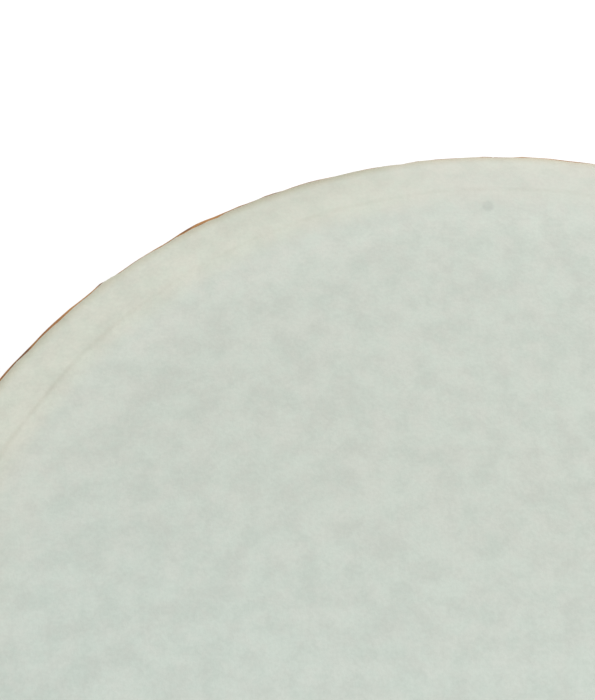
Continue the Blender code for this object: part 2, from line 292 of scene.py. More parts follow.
def ramp(value, low, high):
    """0 below low and 1 above high, with a smooth rise. High may be the lower one, for a fall."""
    inputs = {"Value": value, "From Min": low, "From Max": high}
    return value.node("ShaderNodeMapRange", {"interpolation_type": "SMOOTHSTEP"}, inputs)


def blend(factor, first, second, mode="MIX"):
    """Colour first, and second where factor is 1."""
    settings = {"data_type": "RGBA", "blend_type": mode, "clamp_factor": True}
    return factor.node("ShaderNodeMix", settings, {0: factor, 6: first, 7: second}, 2)


def length_of(vector):
    return vector.node("ShaderNodeVectorMath", {"operation": "LENGTH"}, {0: vector}, "Value")


def axis_distance(point):
    return length_of(stretched(point, (1, 1, 0)))


def split(point):
    return [point.node("ShaderNodeSeparateXYZ", None, {0: point}, axis) for axis in "XYZ"]


def wrapped(point):
    """Coordinates that run round the drum: arc length from the joint at the back, radius and height."""
    x, y, z = split(point)
    arc = (x * -1.0).maths("ARCTAN2", y * -1.0) * DRUM_RADIUS
    return point.node("ShaderNodeCombineXYZ", None, {"X": arc, "Y": axis_distance(point), "Z": z})


def wound_joint(point, pitch):
    """1 along the joint of a tube that is wound with that pitch."""
    x, y, z = split(point)
    turns = z / pitch + x.maths("ARCTAN2", y) / math.tau
    share = turns.maths("FRACT")
    return ramp(share, 0.012, 0.004) + ramp(share, 0.988, 0.996)


def layered(value, thickness):
    """Rises from 0 to 1 over one layer of that thickness, and falls back over the next."""
    return (value / thickness).maths("PINGPONG", 1.0)


def raised(height, distance):
    """A bump of that height in metres where the signal is 1."""
    return height.node("ShaderNodeBump", None, {"Height": height, "Distance": distance})


def new_material(name, **constants):
    """A material whose shader has these constants. Returns it, its shader and a signal to start from."""
    material = bpy.data.materials.new(name)
    material.use_nodes = True
    shader = material.node_tree.nodes["Principled BSDF"]
    for key, value in constants.items():
        shader.inputs[key.replace("_", " ")].default_value = value
    return material, shader, Signal(material.node_tree)


def feed(shader, socket, signal):
    signal.tree.links.new(signal.socket, shader.inputs[socket])


def finished(material, shader, colour, roughness, relief, depth):
    """The material, with its colour, its roughness and a bump of that depth in metres where relief is 1."""
    feed(shader, "Base Color", colour)
    feed(shader, "Roughness", roughness)
    feed(shader, "Normal", raised(relief, depth))
    return material


# The film: cool grey green over the air, lighter and then warmer over the ring and the shell's edge, and
# yellowed and darker where it folds, partly a stain and partly painted shade of the bend. That painted shade
# is deeper on the side away from the lamps, and the lit side has a painted highlight on the rim's rounded
# edge.
def head_film():
    material, shader, start = new_material("fibrous_film", Specular_IOR_Level=0.3)
    point = place_of(start)
    x, y, _ = split(point)
    reach = axis_distance(point)
    wander = (cloud(point, 0.018, 2.0) - 0.5) * TONE_WANDER
    shaded_side = ramp(x + wander, *SHADED_SIDE)
    dimmed_band = ramp(x + wander, *DIMMED_FROM_RIGHT) * ramp(x + wander, *DIMMED_FROM_LEFT)

    nearer = y + x * NEAR_LEAN + wander * 4.0
    colour = blend(ramp(nearer, *NEAR_PART), shown(212.2, 218.1, 208.2), shown(214.8, 223.0, 214.0))
    colour = blend(ramp(reach + wander, *LIGHTER), colour, shown(217, 222, 212))
    warm = blend(shaded_side, shown(220.5, 222.8, 211.8), shown(221.9, 224.4, 211))
    colour = blend(ramp(reach + wander * 0.5, *WARMER), colour, warm)
    # A little darker over the rim's outer part, in a band along X
    colour = blend(dimmed_band * ramp(reach, *DIMMED_RIM), colour, (0.955, 0.952, 0.948, 1), "MULTIPLY")
    # The fold yellowed and darkened on the side away from the lamps: partly a stain, partly painted shade of
    # the bend, deeper in a band along X
    wear_and_fold_shade = blend(ramp(reach, *SHADED_FOLD) * 0.42, colour, shown(198, 188, 154))
    wear_and_fold_shade = blend(dimmed_band * ramp(reach, *DEEPER_FOLD_SHADE) * 0.46, wear_and_fold_shade, shown(171, 159, 130))
    # On the lit side: a painted highlight on the rim's rounded edge, then the fold yellowed, partly a stain
    # and partly painted shade
    highlit_side = blend(ramp(reach, *RIM_HIGHLIGHT), colour, shown(224, 225, 213))
    highlit_side = blend(ramp(reach, *LIT_FOLD) * 0.72, highlit_side, shown(194, 171, 129))
    # The side away from the lamps takes the deeper painted shade, the other side the painted highlight
    colour = blend(shaded_side, highlit_side, wear_and_fold_shade)
    return speckled_film(material, shader, point, colour, wander)


def speckled_film(material, shader, point, colour, wander):
    """Adds the film's blotches and fibres, the line at the ring's inner edge, which is partly painted shade
    of the film's step there, the grey dot and specks.
    """
    blotch = cloud(point, 0.0075, 4.0, 0.6)
    mottle = cloud(point, 0.0012, 3.0, 0.65)
    hue = cloud(point, 0.0058, 4.0, 0.65)
    x = split(point)[0]
    reach = axis_distance(point) + wander * 0.25
    calm = ramp(reach, *CALM_RIM) * ramp(x, *CALM_SIDE)
    dark = ramp(blotch, 0.66, 0.30) * 0.68 + ramp(mottle, 0.68, 0.32) * 0.42
    dark = dark * (1.0 - calm * 0.28) + calm * 0.20
    colour = blend(dark, colour, (0.880, 0.886, 0.884, 1), "MULTIPLY")
    colour = blend(ramp(hue, 0.34, 0.66), colour, (1.0, 0.986, 0.982, 1), "MULTIPLY")
    colour = blend(ramp(hue, 0.66, 0.34), colour, (0.980, 1.0, 0.990, 1), "MULTIPLY")

    # The ring's line: a tan mark, partly painted shade of the film's step there, weaker towards +X and
    # stronger towards -X
    line = ramp(reach, *LINE_RISE) * ramp(reach, *LINE_FALL) * (ramp(x, *CLEAR_LINE_SIDE) * 0.6 + 0.4)
    strong_line_side = ramp(x, *STRONG_LINE_SIDE)
    broken = ramp(cloud(point, 0.0065, 4.0, 0.6) + strong_line_side * 0.08, 0.24, 0.68)
    colour = blend(line * broken * (strong_line_side * 0.09 + 0.09), colour, shown(156, 150, 128))
    from_dot = length_of(stretched(shifted(point, DOT_PLACE), (1, 0.8, 1)))
    colour = blend(ramp(from_dot, DOT_RADIUS, DOT_CORE) * 0.18, colour, shown(136, 142, 138))
    specks = point.node("ShaderNodeTexVoronoi", None, {"Vector": point, "Scale": SPECK_SCALE}, "Distance")
    colour = blend(ramp(specks, 0.016, 0.006) * 0.6, colour, shown(214, 178, 120))
    grain = cloud(stretched(point, (1, 0.6, 1)), 0.0005, 3.0, 0.65)
    return finished(material, shader, colour, 0.56 + blotch * 0.12, grain * 0.5 + mottle, 0.00004)


# The band: thin veneer, stained from dark brown to orange, its grain running round the drum
def trim_veneer():
    material, shader, start = new_material("stained_veneer", Specular_IOR_Level=0.4)
    point = place_of(start)
    strip = wrapped(point)
    stain = cloud(stretched(strip, (0.35, 1, 0.2)), 0.0060, 3.0, 0.5)
    grain = cloud(stretched(strip, (0.03, 1, 1)), 0.0010, 5.0, 0.62)
    burnt = cloud(stretched(strip, (0.26, 1, 3.2)), 0.0026, 3.0, 0.55)
    colour = blend(ramp(stain, 0.34, 0.66), shown(146, 94, 56), shown(188, 136, 82))
    colour = blend(ramp(grain, 0.48, 0.70) * 0.6, colour, shown(98, 60, 38))
    colour = blend(ramp(grain, 0.44, 0.27) * 0.35, colour, shown(200, 152, 94))
    colour = blend(ramp(burnt, 0.515, 0.625) * 0.66, colour, shown(92, 50, 30))
    return finished(material, shader, colour, 0.46 + grain * 0.2, grain, 0.00008)


# The laminate: reddish brown with a fine grain along the drum, under a thin clear layer
def outer_laminate():
    material, shader, start = new_material("brown_laminate", Coat_Weight=0.25, Coat_Roughness=0.22)
    point = place_of(start)
    broad = cloud(stretched(point, (1, 1, 0.05)), 0.013, 3.0, 0.55)
    streak = cloud(stretched(point, (1, 1, 0.018)), 0.0022, 5.0, 0.68)
    pores = cloud(stretched(point, (1, 1, 0.05)), 0.0006, 2.0, 0.5)
    colour = blend(ramp(broad, 0.30, 0.70), shown(108, 58, 29), shown(130, 75, 39))
    colour = blend(ramp(streak, 0.46, 0.70) * 0.75, colour, shown(74, 36, 18))
    colour = blend(ramp(streak, 0.44, 0.28) * 0.4, colour, shown(150, 92, 50))
    colour = blend(ramp(pores, 0.58, 0.70) * 0.5, colour, shown(56, 27, 15))
    height = split(point)[2]
    scuffs = ramp(cloud(stretched(point, (1, 1, 2.2)), 0.006, 4.0, 0.7), 0.60, 0.70)
    scuffs = scuffs * ramp(height, 0.12, 0.04)
    colour = blend(scuffs * 0.35, colour, shown(176, 128, 96))
    roughness = 0.36 + streak * 0.12 + scuffs * 0.25
    return finished(material, shader, colour, roughness, pores * -1.0 + streak * 0.4, 0.00005)


# The tube's wound fibre, which shows inside the drum
def shell_fibre():
    material, shader, start = new_material("wound_fibre", Specular_IOR_Level=0.3)
    point = place_of(start)
    joint = wound_joint(point, FIBRE_PITCH)
    fibre = cloud(stretched(point, (1, 1, 0.6)), 0.0016, 4.0, 0.65)
    stain = cloud(point, 0.04, 3.0, 0.5)
    colour = blend(ramp(stain, 0.3, 0.7), shown(116, 72, 48), shown(134, 88, 60))
    colour = blend(ramp(fibre, 0.45, 0.75) * 0.5, colour, shown(92, 56, 38))
    colour = blend(joint * 0.6, colour, shown(70, 44, 30))
    return finished(material, shader, colour, 0.72 + fibre * 0.15, fibre * 0.3 - joint, 0.0002)


# Bare plywood: plies on edge, and grain on its flat faces
def ring_wood():
    material, shader, start = new_material("plywood", Specular_IOR_Level=0.35)
    point = place_of(start)
    z = split(point)[2]
    wobble = (cloud(point, 0.02, 2.0) - 0.5) * 0.0004
    ply = layered(z + wobble, PLY)
    grain = cloud(stretched(point, (0.12, 1, 1)), 0.0011, 4.0, 0.6)
    colour = blend(ramp(ply, 0.35, 0.6), shown(176, 138, 96), shown(206, 174, 130))
    colour = blend(ramp(grain, 0.42, 0.72) * 0.55, colour, shown(150, 112, 74))
    return finished(material, shader, colour, 0.62 + grain * 0.2, grain + ply * 0.3, 0.00010)


# Fibreboard: even and speckled, with the odd darker fibre
def board_wood():
    material, shader, start = new_material("fibreboard", Specular_IOR_Level=0.35)
    point = place_of(start)
    speckle = cloud(point, 0.0009, 3.0, 0.7)
    soft = cloud(point, 0.018, 3.0, 0.5)
    fibres = cloud(stretched(point, (0.3, 1, 1)), 0.0016, 4.0, 0.7)
    colour = blend(ramp(soft, 0.3, 0.7), shown(150, 119, 86), shown(165, 134, 100))
    colour = blend(ramp(speckle, 0.5, 0.75) * 0.45, colour, shown(122, 92, 62))
    colour = blend(ramp(fibres, 0.62, 0.74) * 0.5, colour, shown(98, 70, 46))
    return finished(material, shader, colour, 0.72 + speckle * 0.15, speckle, 0.00008)


# Wound card: a helical joint on its faces and layers on its ends
def port_card():
    material, shader, start = new_material("wound_card", Specular_IOR_Level=0.3)
    point = place_of(start)
    joint = wound_joint(point, CARD_PITCH)
    layer = layered(axis_distance(point), CARD_LAYER)
    pulp = cloud(point, 0.0014, 4.0, 0.65)
    colour = blend(ramp(pulp, 0.35, 0.7), shown(146, 122, 96), shown(122, 100, 78))
    colour = blend(ramp(layer, 0.3, 0.8) * end_mask(point) * 0.4, colour, shown(98, 78, 60))
    colour = blend(joint * 0.55, colour, shown(88, 70, 54))
    return finished(material, shader, colour, 0.75 + pulp * 0.12, pulp * 0.4 - joint, 0.00018)


def end_mask(point):
    """1 on faces that look up or down."""
    normal = point.node("ShaderNodeNewGeometry", output="True Normal")
    upright = split(normal)[2]
    return ramp(upright.maths("ABSOLUTE"), 0.6, 0.8)


# Moulded rubber: near black, with a fine texture, a little dust and paler scuffs where it meets the floor
def rubber():
    material, shader, start = new_material("moulded_rubber", Specular_IOR_Level=0.4)
    point = place_of(start)
    height = split(point)[2]
    fine = cloud(point, 0.0005, 3.0, 0.6)
    dust = cloud(point, 0.012, 4.0, 0.65)
    wear_and_fold_shade = ramp(height, 0.0035, 0.0) * ramp(cloud(point, 0.004, 4.0, 0.7), 0.35, 0.65)
    colour = blend(ramp(dust, 0.40, 0.75), shown(30, 30, 30), shown(46, 45, 43))
    colour = blend(wear_and_fold_shade * 0.5, colour, shown(84, 81, 77))
    return finished(material, shader, colour, 0.62 + dust * 0.2, fine, 0.00006)


# Zinc plate: pale steel with a faint warm and cool stain and fine scratches
def plated_steel():
    material, shader, start = new_material("zinc_plate", Metallic=1.0)
    point = place_of(start)
    stain = cloud(point, 0.003, 3.0, 0.55)
    scratch = cloud(stretched(point, (1, 0.1, 1)), 0.00025, 2.0, 0.6)
    colour = blend(ramp(stain, 0.35, 0.65), shown(186, 190, 196), shown(204, 199, 186))
    return finished(material, shader, colour, 0.26 + stain * 0.16 + scratch * 0.1, scratch, 0.00001)


# A finish for each material slot, by the slot's name
FINISH_MAKERS = (head_film, trim_veneer, shell_fibre, ring_wood, outer_laminate, rubber, board_wood,
                 port_card, plated_steel)
FINISHES = {make.__name__: make() for make in FINISH_MAKERS}


def corner(radius, height, size, start, end, steps=CORNER_STEPS):
    """An outline's rounded corner round (radius, height), from one angle to another, 90 being up."""
    angles = [math.radians(start + (end - start) * i / steps) for i in range(steps + 1)]
    return [(radius + size * math.cos(a), height + size * math.sin(a)) for a in angles]


def eased_ring(inner, outer, bottom, top, size):
    """The closed outline of a ring whose outer corners are rounded."""
    outline = corner(outer - size, top - size, size, 90, 0, SMALL_CORNER_STEPS)
    outline += corner(outer - size, bottom + size, size, 0, -90, SMALL_CORNER_STEPS)
    return outline + [(inner, bottom), (inner, top), outline[0]]


def rounded_ring(inner, outer, bottom, top, size):
    """The closed outline of a ring whose four corners are rounded."""
    outline = corner(outer - size, top - size, size, 90, 0, SMALL_CORNER_STEPS)
    outline += corner(outer - size, bottom + size, size, 0, -90, SMALL_CORNER_STEPS)
    outline += corner(inner + size, bottom + size, size, -90, -180, SMALL_CORNER_STEPS)
    outline += corner(inner + size, top - size, size, -180, -270, SMALL_CORNER_STEPS)
    return outline + outline[:1]


def point_object(name, radius, height):
    """A new object of one vertex, left in edit mode with that vertex selected."""
    bpy.ops.object.select_all(action="DESELECT")
    bpy.ops.mesh.primitive_plane_add(size=POINT_PLANE, location=(radius, 0, height))
    piece = bpy.context.object
    piece.name = name
    bpy.ops.object.transform_apply()
    bpy.ops.object.mode_set(mode="EDIT")
    bpy.ops.mesh.select_mode(type="VERT")
    bpy.ops.mesh.select_all(action="SELECT")
    bpy.ops.mesh.merge(type="CENTER")
    return piece


def spun(name, outline, steps, angle):
    """An outline of points (radius, height) spun round Z from +X, clockwise as seen from above, with its
    ends filled. It starts and ends on the axis, or it is closed by repeating its first point.
    """
    piece = point_object(name, *outline[0])
    for (r0, z0), (r1, z1) in zip(outline, outline[1:]):
        bpy.ops.mesh.extrude_vertices_move(TRANSFORM_OT_translate={"value": (r1 - r0, 0, z1 - z0)})
    bpy.ops.mesh.select_all(action="SELECT")
    bpy.ops.mesh.remove_doubles(threshold=MERGE)
    bpy.ops.mesh.spin(steps=steps, angle=angle, center=(0, 0, 0), axis=(0, 0, 1))
    bpy.ops.mesh.select_all(action="SELECT")
    bpy.ops.mesh.remove_doubles(threshold=MERGE)
    bpy.ops.mesh.fill_holes(sides=0)
    bpy.ops.mesh.normals_make_consistent(inside=False)
    bpy.ops.object.mode_set(mode="OBJECT")
    return piece


def turned(name, outline, steps, gap=0.0):
    """An outline spun all the way round, or until its ends are that gap apart at the back."""
    missing = gap / max(radius for radius, _ in outline)
    piece = spun(name, outline, steps, math.tau - missing)
    if gap:
        turn(piece, BACK - missing / 2)
    return piece


def only(piece):
    """Makes piece the one selected object."""
    bpy.ops.object.select_all(action="DESELECT")
    bpy.context.view_layer.objects.active = piece
    piece.select_set(True)


def turn(piece, angle, shift=(0, 0, 0)):
    """Turns the piece round Z and moves it, in its mesh."""
    only(piece)
    piece.rotation_euler = (0, 0, angle)
    piece.location = shift
    bpy.ops.object.transform_apply()


def copied(piece, name, angle, shift=(0, 0, 0)):
    """A copy with its own mesh, turned round Z and moved."""
    only(piece)
    bpy.ops.object.duplicate()
    copy = bpy.context.object
    copy.name = name
    turn(copy, angle, shift)
    return copy


def apply_modifier(piece, kind, **settings):
    only(piece)
    modifier = piece.modifiers.new(kind.lower(), kind)
    for name, value in settings.items():
        setattr(modifier, name, value)
    bpy.ops.object.modifier_apply(modifier=modifier.name)


def cut(piece, *cutters):
    """Cuts the piece by each cutter, removes the cutters, and merges what the cuts leave in one place."""
    for cutter in cutters:
        apply_modifier(piece, "BOOLEAN", operation="DIFFERENCE", solver="EXACT", object=cutter)
        bpy.data.objects.remove(cutter)
    bpy.ops.object.mode_set(mode="EDIT")
    bpy.ops.mesh.select_all(action="SELECT")
    bpy.ops.mesh.remove_doubles(threshold=MERGE)
    bpy.ops.mesh.dissolve_degenerate(threshold=MERGE)
    bpy.ops.object.mode_set(mode="OBJECT")


def round_cutter(outline, place):
    """The cutter of a hole whose outline is turned round an upright line at place."""
    cutter = turned("cutter", outline, HOLE_STEPS)
    turn(cutter, CUTTER_TURN, (*place, 0))
    return cutter


def fit(piece, node, slot):
    """The piece rides on the drum in place of a CAD node, with the finish of that material slot."""
    only(piece)
    bpy.ops.object.shade_smooth_by_angle(angle=SMOOTH_ANGLE)
    piece.data.materials.clear()
    piece.data.materials.append(FINISHES[slot])
    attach(piece, "root")
    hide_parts(node)


def size_of(node):
    """A CAD node's outer radius, lowest height and highest height, for a node round the drum's axis."""
    low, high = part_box(node)
    return high.x, low.z, high.z


def middle_of(node):
    """(x, y) of the middle of a CAD node."""
    low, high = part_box(node)
    return ((low.x + high.x) / 2, (low.y + high.y) / 2)


def select(piece, kind, chosen):
    """Leaves edit mode on, with the vertices (VERT) or faces (FACE) selected whose place is chosen."""
    only(piece)
    bpy.ops.object.mode_set(mode="EDIT")
    bpy.ops.mesh.select_mode(type=kind)
    bpy.ops.mesh.select_all(action="DESELECT")
    bpy.ops.object.mode_set(mode="OBJECT")
    if kind == "VERT":
        for vertex in piece.data.vertices:
            vertex.select = chosen(vertex.co)
    else:
        for face in piece.data.polygons:
            face.select = chosen(face.center)
    bpy.ops.object.mode_set(mode="EDIT")


def pull(piece, angle, out, up, reach):
    """Moves the rim at an angle, in degrees, out and up, and what is round it less and less."""
    direction = Vector((math.cos(math.radians(angle)), math.sin(math.radians(angle)), 0))
    top = max(v.co.z for v in piece.data.vertices)
    rim = max(v.co.xy.length for v in piece.data.vertices)
    column = direction * (rim - FOLD / 2)

    def on_column(place):
        if place.z <= top - FOLD or abs(place.dot(direction) - column.length) >= FOLD / 2:
            return False
        return place.xy.angle(direction.xy) < RIM_COLUMN

    select(piece, "VERT", on_column)
    bpy.ops.transform.translate(value=direction * out + Vector((0, 0, up)), use_proportional_edit=True,
                                proportional_edit_falloff="SMOOTH", proportional_size=reach)
    bpy.ops.object.mode_set(mode="OBJECT")


# Where the rim stands out or in on the side that the camera sees: degrees, millimetres out and reach
FILM_PULLS = ((82, -0.3, 7), (86, 0.2, 7), (92, 0.25, 7), (98, 0.25, 5), (100, -0.35, 5),
              (103, -0.1, 4), (105, 0.12, 4), (107, -0.15, 8), (111, 0.2, 5), (116, 0.25, 4),
              (121, -0.55, 4), (123, -0.3, 4), (125, -0.25, 5), (127, -0.25, 4), (128, -0.35, 5),
              (130, -0.15, 7), (132, -0.2, 4), (133, -0.3, 4), (135, 0.45, 7), (137, -0.1, 4),
              (141, -0.35, 6), (143, -0.2, 4), (145, -0.4, 6))

# And where the band does: degrees, millimetres out and up, and reach
BAND_PULLS = ((80, 0.1, 0.65, 18), (85, 0, 0.9, 13), (87, 0, 0.35, 4), (91, 0, 0.3, 6),
              (93, 0.1, 0.55, 32), (98, 0, 0.5, 5), (100, 0, -0.35, 5), (103, 0.05, 0.35, 14),
              (108, 0, 0.2, 8), (111, 0.05, 0.45, 13), (115, 0, 0.6, 7), (118, 0.1, 0.35, 8),
              (120, 0, 0.35, 5), (123, 0.3, 0.8, 11), (125, 0, 0.2, 5), (127, 0, -0.2, 4),
              (129, 0, -0.2, 6), (132, 0, -0.3, 5), (133, 0, -0.2, 4), (135, 0, 0.85, 4),
              (139, 0, 0.25, 6), (141, 0.05, 0.35, 8), (143, 0, 0.15, 4), (145, 0, -0.2, 7))


def fine_waver(piece, low, high, depth):
    """Uneven hand work: what lies between two heights moves in and out, by up to about half of depth."""
    group = piece.vertex_groups.new(name="waver")
    group.add([v.index for v in piece.data.vertices if low < v.co.z < high], 1.0, "REPLACE")
    noise = bpy.data.textures.new("waver", "CLOUDS")
    noise.noise_scale = WAVER_SCALE
    apply_modifier(piece, "DISPLACE", texture=noise, strength=depth, mid_level=0.5, vertex_group="waver")


def rim_waver(piece, seed, size):
    """Small random pulls round the part of the rim that the camera doesn't see."""
    draw = random.Random(seed)
    angle, end = FAR_RIM
    while angle < end:
        out = draw.uniform(-size, size)
        up = draw.uniform(-size, size) / 2
        pull(piece, angle, out, up, draw.uniform(*FAR_REACH))
        angle += draw.uniform(*FAR_STEP)


# The film lies flat, steps up a little over the ring, turns over the edge and runs down as a skirt
def make_film():
    rim, bottom, top = size_of("drumhead")
    inner = top - LINE_DROP
    outline = [(0, inner)] + [(LINE_INSIDE * share, inner) for share in FLAT_RINGS]
    for i in range(LINE_STEPS + 1):
        share = i / LINE_STEPS
        rise = share * share * (3 - 2 * share)
        outline.append((LINE_INSIDE + (LINE_OUTSIDE - LINE_INSIDE) * share, inner + LINE_DROP * rise))
    outline += [(LINE_OUTSIDE + (rim - FOLD - LINE_OUTSIDE) * share, top) for share in (0.25, 0.5, 0.75)]
    outline += corner(rim - FOLD, top - FOLD, FOLD, 90, 0, FOLD_STEPS)
    outline += [(rim, top - FOLD + (bottom - top + FOLD) * share) for share in (0.2, 0.4, 0.6, 0.8, 1.0)]
    film = turned("playing_film", outline, RIM_STEPS)
    for angle, out, reach in FILM_PULLS:
        pull(film, angle, out / 1000, 0, reach / 1000)
    rim_waver(film, FILM_SEED, FILM_FAR_PULL)
    fine_waver(film, bottom, top - FOLD * FILM_STILL, FILM_WAVER)
    apply_modifier(film, "SOLIDIFY", thickness=FILM, offset=-1, use_even_offset=True)
    fit(film, "drumhead", "head_film")


# The band goes round the film's skirt and past its lower edge. Its own top edge is uneven.
def make_band():
    outer, bottom, top = size_of("head_trim_band")
    inner = outer - BAND_WALL
    middle = outer - BAND_ROUND
    outline = corner(middle, top - BAND_ROUND, BAND_ROUND, 90, 0)
    outline += [(outer, bottom + (top - bottom) * share) for share in (0.8, 0.6, 0.4, 0.2)]
    outline += corner(middle, bottom + BAND_ROUND, BAND_ROUND, 0, -90)
    outline += [(inner, bottom + (top - bottom) * share) for share in (0, 0.25, 0.5, 0.75, 1.0)]
    outline.append(outline[0])
    band = turned("trim_band", outline, RIM_STEPS, SHEET_GAP)
    for angle, out, up, reach in BAND_PULLS:
        pull(band, angle, out / 1000, up / 1000, reach / 1000)
    rim_waver(band, BAND_SEED, BAND_FAR_PULL)
    fine_waver(band, top - BAND_RAGGED, math.inf, BAND_WAVER)
    fit(band, "head_trim_band", "trim_veneer")


# The laminate is a thin sleeve round the shell, its ends meeting at the back
def make_laminate():
    outer, bottom, top = size_of("shell_wrap")
    outline = eased_ring(outer - LAMINATE, outer, bottom, top, LAMINATE_ROUND)
    fit(turned("laminate_sleeve", outline, RIM_STEPS, SHEET_GAP), "shell_wrap", "outer_laminate")


# A channel with rounded lips, pushed on to the bottom edge of the shell, its ends meeting at the back
def make_channel():
    outer, bottom, top = size_of("bottom_edge_guard")
    inner = outer - 2 * CHANNEL_WALL - LAMINATE - SHELL_WALL - 4 * SEAT_GAP
    web = bottom + CHANNEL_WEB
    lip = CHANNEL_WALL / 2
    outline = corner(outer - lip, top - lip, lip, 180, 0)
    outline += corner(outer - CHANNEL_ROUND, bottom + CHANNEL_ROUND, CHANNEL_ROUND, 0, -90)
    outline += corner(inner + CHANNEL_ROUND, bottom + CHANNEL_ROUND, CHANNEL_ROUND, -90, -180)
    outline += corner(inner + lip, top - lip, lip, 180, 0)
    outline += [(inner + CHANNEL_WALL, web), (outer - CHANNEL_WALL, web), outline[0]]
    fit(turned("rubber_channel", outline, RIM_STEPS, SHEET_GAP), "bottom_edge_guard", "rubber")


# The board, with its edges eased, and a hole for each tee nut and screw
def make_board():
    outer, bottom, top = size_of("base_board")
    port = size_of("port_tube")[0] + SEAT_GAP
    board = turned("bottom_board", eased_ring(port, outer, bottom, top, BOARD_ROUND), PORT_STEPS)
    low, high = bottom - HOLE_OVERCUT, top + HOLE_OVERCUT
    for kind, radius in (("tee_nut", TEE_HOLE_RADIUS), ("board_screw", SCREW_HOLE_RADIUS)):
        outline = [(0, low), (radius, low), (radius, high), (0, high)]
        places = [middle_of(node) for node in frame["nodes"] if node.startswith(kind)]
        cut(board, *[round_cutter(outline, place) for place in places])
    fit(board, "base_board", "board_wood")


# The port's tube, with all its edges rounded
def make_port():
    outer, bottom, top = size_of("port_tube")
    outline = rounded_ring(outer - PORT_WALL, outer, bottom, top, PORT_ROUND)
    fit(turned("port_pipe", outline, PORT_STEPS), "port_tube", "port_card")


def foot_block():
    """The foot's block on +X: drafted under the ledge, with the shoulder that goes up to the board."""
    circle = Vector(middle_of("foot_bolt_1_1")).length
    board_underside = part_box("foot_1")[1].z
    outer = size_of("shell_tube")[0]
    ledge_inner = circle - COUNTERBORE_RADIUS - FOOT_INNER_WALL - FOOT_DRAFT
    shoulder_inner = ledge_inner + FOOT_SHOULDER
    half = FOOT_HALF / circle
    outline = [(ledge_inner + FOOT_DRAFT, 0), (outer - FOOT_DRAFT, 0), (outer, LEDGE_HEIGHT),
               (UPPER_OUTER, LEDGE_HEIGHT), (shoulder_inner, LEDGE_HEIGHT), (ledge_inner, LEDGE_HEIGHT)]
    piece = spun("foot", outline + outline[:1], FOOT_COLUMNS, 2 * half)
    turn(piece, half)

    select(piece, "VERT", lambda place: place.z < MERGE)
    share = (FOOT_HALF - FOOT_DRAFT) / FOOT_HALF
    bpy.ops.transform.resize(value=(1, share, 1), center_override=(circle, 0, 0))
    bpy.ops.object.mode_set(mode="OBJECT")

    upper_half = half * (FOOT_UPPER_COLUMNS + 0.5) / FOOT_COLUMNS

    def under_board(place):
        on_ledge = place.z > LEDGE_HEIGHT - MERGE and shoulder_inner < place.xy.length < UPPER_OUTER
        return on_ledge and abs(math.atan2(place.y, place.x)) < upper_half

    select(piece, "FACE", under_board)
    rise = board_underside - LEDGE_HEIGHT
    bpy.ops.mesh.extrude_region_move(TRANSFORM_OT_translate={"value": (0, 0, rise)})
    bpy.ops.object.mode_set(mode="OBJECT")
    return piece


def parting_line(piece):
    """The mould's fine raised line round the foot."""
    only(piece)
    bpy.ops.object.mode_set(mode="EDIT")
    for height in (PARTING_HEIGHT, PARTING_HEIGHT + PARTING_WIDTH):
        bpy.ops.mesh.select_all(action="SELECT")
        bpy.ops.mesh.bisect(plane_co=(0, 0, height), plane_no=(0, 0, 1))
    bpy.ops.object.mode_set(mode="OBJECT")
    select(piece, "FACE", lambda place: PARTING_HEIGHT < place.z < PARTING_HEIGHT + PARTING_WIDTH)
    bpy.ops.mesh.extrude_region_shrink_fatten(TRANSFORM_OT_shrink_fatten={"value": PARTING_STAND})
    bpy.ops.object.mode_set(mode="OBJECT")


def tread_cutter(radius):
    """A groove's cutter, a ring with a rounded inner end."""
    half = TREAD_WIDTH / 2
    outline = [(radius + half, -HOLE_OVERCUT)]
    outline += corner(radius, TREAD_DEPTH - half, half, 0, 180)
    outline += [(radius - half, -HOLE_OVERCUT), outline[0]]
    return turned("tread_cutter", outline, RIM_STEPS)


# The foot is made once, on +X, and copied to its three places
def make_feet():
    block = foot_block()
    apply_modifier(block, "BEVEL", width=FOOT_ROUND, segments=FOOT_ROUND_STEPS, limit_method="ANGLE",
                   angle_limit=FOOT_EDGE_ANGLE)
    parting_line(block)
    bolt = Vector(middle_of("foot_bolt_1_1"))
    circle = bolt.length
    half = abs(math.atan2(bolt.y, bolt.x) - FOOT_ANGLES[0])
    mouth = COUNTERBORE_RADIUS + COUNTERBORE_CHAMFER
    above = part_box("foot_1")[1].z + HOLE_OVERCUT
    outline = [(0, -HOLE_OVERCUT), (mouth, -HOLE_OVERCUT), (mouth, 0),
               (COUNTERBORE_RADIUS, COUNTERBORE_CHAMFER), (COUNTERBORE_RADIUS, COUNTERBORE_DEPTH),
               (BOLT_HOLE_RADIUS, COUNTERBORE_DEPTH), (BOLT_HOLE_RADIUS, above), (0, above)]
    places = [(circle * math.cos(angle), circle * math.sin(angle)) for angle in (-half, half)]
    cut(block, *[round_cutter(outline, place) for place in places])
    cut(block, *[tread_cutter(circle + side * COUNTERBORE_RADIUS) for side in (-1, 1)])
    for number, angle in enumerate(FOOT_ANGLES, 1):
        fit(copied(block, f"rubber_foot_{number}", angle), f"foot_{number}", "rubber")
    bpy.data.objects.remove(block)


def threaded(radius, start, end, pitch, depth):
    """The outline of a shank that goes up from start to end, with a thread's ridges."""
    count = round((end - start) / pitch)
    step = (end - start) / count
    outline = []
    for i in range(count):
        low = start + i * step
        outline += [(radius - depth, low), (radius, low + step / 2)]
    return outline + [(radius - depth, end)]


def make_set(first, kind, new_kind, slot):
    """A copy of the first fastener, which stands on the axis, for each CAD node of its kind."""
    for node in sorted(frame["nodes"]):
        if node.startswith(kind):
            x, y = middle_of(node)
            piece = copied(first, node.replace(kind, new_kind), math.atan2(y, x), (x, y, 0))
            fit(piece, node, slot)
    bpy.data.objects.remove(first)


